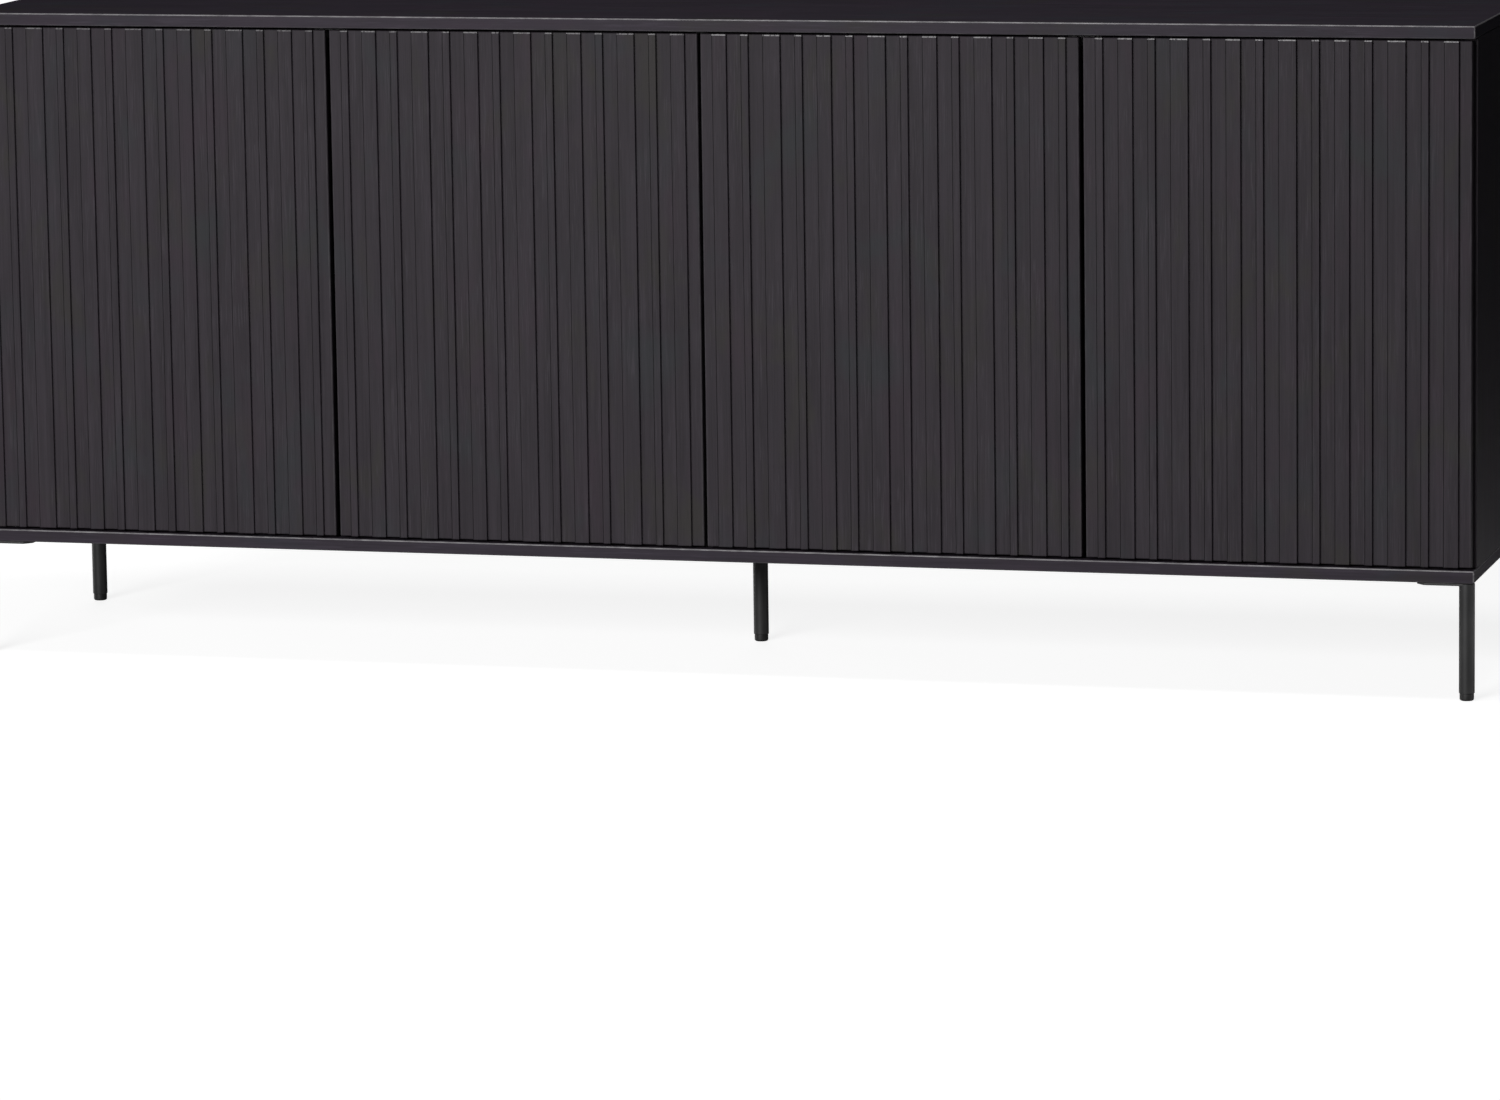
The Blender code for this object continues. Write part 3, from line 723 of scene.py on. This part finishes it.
def carve(piece, bores):
    """Sinks round bores (centre, radius, start y, end y) along Y into a piece."""
    bm = bmesh.new()
    for (x, z), radius, y_in, y_out in bores:
        place = axis_place((x, y_in, z), (0.0, 1.0, 0.0))
        lathe_into(bm, [(radius, 0.0), (radius, y_out - y_in)], 64, place)
    bmesh.ops.recalc_face_normals(bm, faces=bm.faces)
    mesh = bpy.data.meshes.new("bores")
    bm.to_mesh(mesh)
    bm.free()
    cutter = bpy.data.objects.new("bores", mesh)
    bpy.context.collection.objects.link(cutter)
    cut = piece.modifiers.new("Bores", "BOOLEAN")
    cut.operation = "DIFFERENCE"
    cut.solver = "EXACT"
    cut.object = cutter
    piece.modifiers.move(len(piece.modifiers) - 1, 0)
    normals = piece.modifiers["Normals"]
    normals.show_viewport = False
    bpy.context.view_layer.update()
    evaluated = piece.evaluated_get(bpy.context.evaluated_depsgraph_get())
    carved = bpy.data.meshes.new_from_object(evaluated)
    piece.modifiers.remove(cut)
    normals.show_viewport = True
    old = piece.data
    piece.data = carved
    carved.name = piece.name
    bpy.data.meshes.remove(old)
    bpy.data.objects.remove(cutter)
    bpy.data.meshes.remove(mesh)


def cup_centre(number, row):
    low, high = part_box(f"hinge_cup_{number}_{row}")
    return (low.x + high.x) / 2, (low.z + high.z) / 2


def add_doors():
    for number in DOORS:
        _low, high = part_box(f"door_{number}")
        bores = []
        for row in HINGE_ROWS:
            cup, _cup_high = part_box(f"hinge_cup_{number}_{row}")
            centre = cup_centre(number, row)
            bores.append((centre, CUP_BORE, cup.y - 0.5 * MM, high.y + 2 * MM))
        add_door(number, bores)


# Legs

LEG_RADIUS = 10.0 * MM
LEG_SIDES = 64
ROD_FOOT = 9.4 * MM  # the height of the rod's lower end
ROD_BORE = 6.2 * MM  # the radius of a shallow recess in the rod's lower end, round the glide's neck
ROD_EASE = 0.5 * MM
ROD_SHY = 0.5 * MM  # between the rod's upper end and the bottom panel
PLATE_THICK = 3.0 * MM
PLATE_CHAMFER = 10.0 * MM
PLATE_EASE = 0.6 * MM
WELD_THROAT = 2.5 * MM
WELD_DEPTH = 1.0 * MM  # how far the weld goes into the rod
WELD_RISE = 0.5 * MM  # how far it goes into the plate
WELD_MARGIN = 0.4 * MM  # how far it stays inside the plate's edges


def middle_of(node_name):
    """The middle of a node's box, seen from above."""
    low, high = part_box(node_name)
    return (low.x + high.x) / 2, (low.y + high.y) / 2


def plate_box(node_name):
    """The lowest and highest corners of a leg's plate, from the CAD mesh at its top face."""
    _low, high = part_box(node_name)
    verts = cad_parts[node_name].data.vertices
    flat = [v.co for v in verts if abs(v.co.z - high.z) < 1e-5]
    corners = [Vector(pick(co[axis] for co in flat) for axis in range(3)) for pick in (min, max)]
    return corners[0], corners[1]


def plate_into(bm, low, high):
    """A flat plate with chamfered corners and eased edges."""
    cut = PLATE_CHAMFER
    outline = [
        (high.x, low.y + cut),
        (high.x, high.y - cut),
        (high.x - cut, high.y),
        (low.x + cut, high.y),
        (low.x, high.y - cut),
        (low.x, low.y + cut),
        (low.x + cut, low.y),
        (high.x - cut, low.y),
    ]
    layer = edge_layer(bm)
    levels = (high.z - PLATE_THICK, high.z)
    skin(bm, [[bm.verts.new((x, y, z)) for x, y in outline] for z in levels])
    made = bmesh.ops.bevel(
        bm, geom=bm.edges[:], offset=PLATE_EASE, segments=3, profile=0.5, affect="EDGES"
    )
    for face in made["faces"]:
        face[layer] = 1.0


def weld_into(bm, axis, low, high, at_corner):
    """A weld bead round the rod under its plate, held inside a corner leg's plate."""
    under = high.z - PLATE_THICK
    root, toe, top = LEG_RADIUS - WELD_DEPTH, LEG_RADIUS + WELD_THROAT, under + WELD_RISE
    profile = [(root, under - WELD_THROAT)]
    for c, s in quarter_turn(6):
        profile.append((LEG_RADIUS + WELD_THROAT * (1 - c), under - WELD_THROAT * (1 - s)))
    profile += [(toe, top), (root, top)]
    start = len(bm.verts)
    lathe_into(bm, profile, LEG_SIDES, axis, closed=True)
    if not at_corner:
        return
    bm.verts.ensure_lookup_table()
    edge_x = max(abs(low.x), abs(high.x)) - WELD_MARGIN
    edge_y = max(abs(low.y), abs(high.y)) - WELD_MARGIN
    for vert in bm.verts[start:]:
        reach_x, reach_y = min(abs(vert.co.x), edge_x), min(abs(vert.co.y), edge_y)
        cut = max(0.0, reach_x + reach_y - (edge_x + edge_y - PLATE_CHAMFER)) / 2
        vert.co.x = math.copysign(reach_x - cut, vert.co.x)
        vert.co.y = math.copysign(reach_y - cut, vert.co.y)


def add_leg(place):
    """A round rod that goes up through a chamfered plate and is welded under it."""
    node_name = f"leg_{place}"
    low, high = plate_box(node_name)
    x, y = middle_of(f"leg_glide_{place}")
    axis = Matrix.Translation((x, y, 0.0))
    bm = bmesh.new()
    plate_into(bm, low, high)
    rod_top = high.z - ROD_SHY
    rod = [
        (ROD_BORE, ROD_FOOT + 0.2 * MM),
        (LEG_RADIUS - ROD_EASE, ROD_FOOT),
        (LEG_RADIUS, ROD_FOOT + ROD_EASE),
        (LEG_RADIUS, rod_top - ROD_EASE),
        (LEG_RADIUS - ROD_EASE, rod_top),
    ]
    lathe_into(bm, rod, LEG_SIDES, axis)
    weld_into(bm, axis, low, high, place != "centre")
    finish_piece(
        f"{node_name}_welded", bm, "coat", "carcass", sharp=50.0, replaces=(node_name,)
    )


def add_glide(place):
    """A plastic foot with a rounded rim, whose neck goes up into the rod."""
    node_name = f"leg_glide_{place}"
    low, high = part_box(node_name)
    x, y = middle_of(node_name)
    radius = (high.x - low.x) / 2
    neck, top, curve = 6 * MM, 9 * MM, 2.5 * MM
    profile = [
        (5.4 * MM, high.z),
        (neck, high.z - 1 * MM),
        (neck, top),
        (radius - 0.3 * MM, top),
        (radius, top - 0.4 * MM),
    ]
    profile += [(radius - curve + curve * c, curve - curve * s) for c, s in quarter_turn(6)]
    bm = bmesh.new()
    lathe_into(bm, profile, 48, Matrix.Translation((x, y, 0.0)))
    finish_piece(
        f"{node_name}_foot",
        bm,
        "glide",
        "carcass",
        sharp=50.0,
        replaces=(node_name,),
    )


def add_legs():
    for place in LEGS:
        add_leg(place)
        add_glide(place)


# Hardware. A hinge is laid out in its own frame: X inward from the door's hinge edge, Y back from
# the door's front, and Z up from the middle of the cup.

SCREW_SIDES = 24
SCREW_DOME = ((1.0, -0.30), (1.0, 0.25), (0.93, 0.58), (0.78, 0.84), (0.62, 0.96))
RECESS_ARM, RECESS_HALF = 0.52, 0.15  # the cross recess, as shares of the head's radius
SHEET = 1.2 * MM
CUP_MIDDLE = (22.5 * MM, 18.0 * MM)
CUP_GAP = 0.3 * MM  # between the door's back and the cup's flange
LINK_ARM = (31.2 * MM, 13.6 * MM)
LINK_DOOR = (10.2 * MM, 10.8 * MM)
LINK_STEPS = 14
ARM_DECK = {"outer": 26.5 * MM, "inner": 21.0 * MM}  # the arm's face, from the hinge edge
INWARD, REARWARD, DOWNWARD = (1.0, 0.0, 0.0), (0.0, 1.0, 0.0), (0.0, 0.0, -1.0)
BOTH_SIDES = (-1.0, 1.0)


def cross(angle, reach, half):
    """The distance to the edge of a cross recess in a direction."""
    c, s = abs(math.cos(angle)) + 1e-9, abs(math.sin(angle)) + 1e-9
    return max(min(reach / c, half / s), min(half / c, reach / s))


def screw_into(bm, place, direction, radius, height):
    """A domed screw head with a cross recess; place is under the head."""
    edge_layer(bm)
    frame_at = axis_place(place, direction)
    angles = [2 * math.pi * k / SCREW_SIDES for k in range(SCREW_SIDES)]
    levels = [[(radius * r, height * h)] * SCREW_SIDES for r, h in SCREW_DOME]
    for scale, depth in ((1.0, 0.97), (0.72, 0.15)):
        reaches = [radius * scale * cross(a, RECESS_ARM, RECESS_HALF) for a in angles]
        levels.append([(reach, height * depth) for reach in reaches])
    rings = []
    for level in levels:
        points = [(r * math.cos(a), r * math.sin(a), h) for a, (r, h) in zip(angles, level)]
        rings.append([bm.verts.new(frame_at @ Vector(p)) for p in points])
    skin(bm, rings)


def hinge_place(number, row):
    """The hinge's frame, and the side that its X points to."""
    facing = 1.0 if number in (1, 3) else -1.0
    low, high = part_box(f"door_{number}")
    edge = low.x if facing > 0 else high.x
    _x, z = cup_centre(number, row)
    return Matrix.Translation((edge, low.y, z)) @ Matrix.Diagonal((facing, 1.0, 1.0, 1.0)), facing


def round_plate(bm, centre, half, corner, low, high):
    """A flat plate in the X-Z plane with round corners, between two Y levels."""
    edge_layer(bm)
    x, z = centre
    a, c = half
    corners = [(x - a, z - c), (x + a, z - c), (x + a, z + c), (x - a, z + c)]
    ease = 0.25 * MM
    levels = ((low, 0.0), (high - ease, 0.0), (high - 0.3 * ease, 0.3 * ease), (high, ease))
    rings = []
    for level, inset in levels:
        wide, tall = 1 - inset / a, 1 - inset / c
        shape = [(x + (u - x) * wide, z + (w - z) * tall, corner - inset) for u, w in corners]
        rings.append([bm.verts.new((p.x, level, p.y)) for p in fillet(shape, 5)])
    skin(bm, rings)


def add_hinge_cup(number, row):
    """The pressed cup with its flange, two screws, the link's pin and the damper blocks."""
    place, _facing = hinge_place(number, row)
    centre_u, back = CUP_MIDDLE
    outer, inner, bottom = 17.2 * MM, 16.0 * MM, 11.0 * MM
    rim = CUP_GAP + SHEET
    axis = Matrix.Translation((centre_u, back, 0.0)) @ Matrix.Rotation(math.radians(-90), 4, "X")
    profile = [
        (0.0, -bottom),
        (outer - 1.2 * MM, -bottom),
        (outer - 0.35 * MM, -bottom + 0.35 * MM),
        (outer, -bottom + 1.2 * MM),
        (outer, rim - 0.5 * MM),
        (outer - 0.15 * MM, rim + 0.1 * MM),
        (inner + 0.5 * MM, rim + 0.25 * MM),
        (inner + 0.1 * MM, rim - 0.1 * MM),
        (inner, rim - 0.8 * MM),
        (inner, -bottom + 2.0 * MM),
        (inner - 0.6 * MM, -bottom + 1.4 * MM),
        (0.0, -bottom + SHEET),
    ]
    bm = bmesh.new()
    lathe_into(bm, profile, 48, axis)
    for side in BOTH_SIDES:
        ear = (centre_u, side * 20.6 * MM)
        round_plate(bm, ear, (9.0 * MM, 5.4 * MM), 3.0 * MM, back + CUP_GAP, back + rim)
        head = (centre_u, back + rim, side * 21.6 * MM)
        screw_into(bm, head, REARWARD, 3.5 * MM, 1.3 * MM)
    pin = Matrix.Translation((*LINK_DOOR, -6.6 * MM))
    lathe_into(bm, [(1.2 * MM, 0.0), (1.2 * MM, 13.2 * MM)], 16, pin)
    bm.transform(place)
    cup = f"hinge_cup_{number}_{row}"
    finish_piece(f"{cup}_pressed", bm, "steel", f"door_{number}", replaces=(cup,))

    bm = bmesh.new()
    for side in BOTH_SIDES:
        z_low, z_high = sorted((side * 7.3 * MM, side * 11.6 * MM))
        low = (13.0 * MM, back - bottom + SHEET + 0.1 * MM, z_low)
        high = (31.5 * MM, back - 3.4 * MM, z_high)
        box_into(bm, low, high, 0.9 * MM, 3)
    bm.transform(place)
    name = f"hinge_damper_{number}_{row}"
    finish_piece(name, bm, "latch", f"door_{number}", sharp=35.0)


def strip_into(bm, half_width, z_low, z_high, lead):
    """A strip of the link; lead is how far its tapered ends go past the rivet and the pin."""
    start, end = Vector(LINK_ARM), Vector(LINK_DOOR)
    run = (end - start).normalized()
    side = Vector((-run.y, run.x))
    sections = []
    for k in range(LINK_STEPS + 1):
        middle = start.lerp(end, k / LINK_STEPS)
        width = half_width
        if lead and k in (0, LINK_STEPS):
            middle = middle - run * lead if k == 0 else middle + run * lead
            width = half_width * 0.45
        corners = ((-width, z_low), (width, z_low), (width, z_high), (-width, z_high))
        sections.append([bm.verts.new((*(middle + side * s), z)) for s, z in corners])
    skin(bm, sections)


def add_hinge_link(number, row):
    """Two cheeks and a web from the arm's rivet to the pin in the cup."""
    place, _facing = hinge_place(number, row)
    bm = bmesh.new()
    edge_layer(bm)
    strip_into(bm, 2.0 * MM, -4.9 * MM, -3.7 * MM, 1.8 * MM)
    strip_into(bm, 2.0 * MM, 3.7 * MM, 4.9 * MM, 1.8 * MM)
    strip_into(bm, 0.6 * MM, -3.7 * MM, 3.7 * MM, 0.0)
    bm.transform(place)
    piece = finish_piece(f"hinge_link_{number}_{row}", bm, "steel", None)
    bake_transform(piece)


def add_hinge_body(number, row):
    """The arm and its mounting plate, with their screws and the link's rivet."""
    place, facing = hinge_place(number, row)
    for part, ease in (("arm", 0.35 * MM), ("plate", 0.4 * MM)):
        refine(f"hinge_{part}_{number}_{row}", "steel", "carcass", ease)
    low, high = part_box(f"hinge_plate_{number}_{row}")
    foot = abs((high.x if facing > 0 else low.x) - place.translation.x)
    deck = ARM_DECK["outer" if number in (1, 4) else "inner"]
    bm = bmesh.new()
    for v, radius in ((45.0 * MM, 3.0 * MM), (76.0 * MM, 3.4 * MM)):
        screw_into(bm, (deck, v, 0.0), INWARD, radius, 1.2 * MM)
    for side in BOTH_SIDES:
        screw_into(bm, (foot, 62.0 * MM, side * 18.5 * MM), INWARD, 3.6 * MM, 1.5 * MM)
    rivet = [
        (1.3 * MM, 0.0),
        (1.6 * MM, 0.3 * MM),
        (1.6 * MM, 13.9 * MM),
        (1.3 * MM, 14.2 * MM),
    ]
    lathe_into(bm, rivet, 16, Matrix.Translation((*LINK_ARM, -7.1 * MM)))
    bm.transform(place)
    finish_piece(f"hinge_screws_{number}_{row}", bm, "zinc", "carcass")


def add_latch(end):
    """The twin housing under the top, its two screws and a plunger for each door."""
    refine(f"latch_housing_{end}", "latch", "carcass", 0.4 * MM)
    low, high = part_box(f"latch_housing_{end}")
    middle = (low.x + high.x) / 2
    bm = bmesh.new()
    for y in (low.y + 9 * MM, high.y - 9 * MM):
        screw_into(bm, (middle, y, low.z), DOWNWARD, 3.2 * MM, 1.2 * MM)
    finish_piece(f"latch_screws_{end}", bm, "zinc", "carcass")
    for side in ENDS:
        name = f"latch_plunger_{end}_{side}"
        refine(name, "plunger", name)


def add_leg_screws():
    """Three screws hold each corner leg's plate, and four the middle one's."""
    reach, clear = 23 * MM, 18 * MM
    bm = bmesh.new()
    for place in LEGS:
        low, high = plate_box(f"leg_{place}")
        rod_x, rod_y = middle_of(f"leg_glide_{place}")
        middle = (low + high) / 2
        for sx in (-1, 1):
            for sy in (-1, 1):
                x, y = middle.x + sx * reach, middle.y + sy * reach
                if math.hypot(x - rod_x, y - rod_y) > clear:
                    under = (x, y, high.z - PLATE_THICK)
                    screw_into(bm, under, DOWNWARD, 4.2 * MM, 1.1 * MM)
    finish_piece("leg_screws", bm, "blackened", "carcass")


def add_back_screws():
    """Four screws through the back panel into the edge of the partition."""
    bm = bmesh.new()
    _low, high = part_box("back_panel")
    for k in range(4):
        height = (250 + 170 * k) * MM
        screw_into(bm, (0.0, high.y, height), REARWARD, 3.4 * MM, 1.3 * MM)
    finish_piece("back_screws", bm, "zinc", "carcass")


def add_shelf_pins():
    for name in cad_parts:
        if name.startswith("shelf_pin"):
            refine(name, "zinc", "carcass")


def add_hardware():
    for number in DOORS:
        for row in HINGE_ROWS:
            add_hinge_cup(number, row)
            add_hinge_body(number, row)
            add_hinge_link(number, row)
    for end in ENDS:
        add_latch(end)
    add_leg_screws()
    add_back_screws()
    add_shelf_pins()


# Build

bpy.context.scene.view_settings.view_transform = "Standard"
add_camera()
add_world()
add_floor()
add_lights()
add_boards()
add_doors()
add_legs()
add_hardware()

bpy.context.view_layer.update()
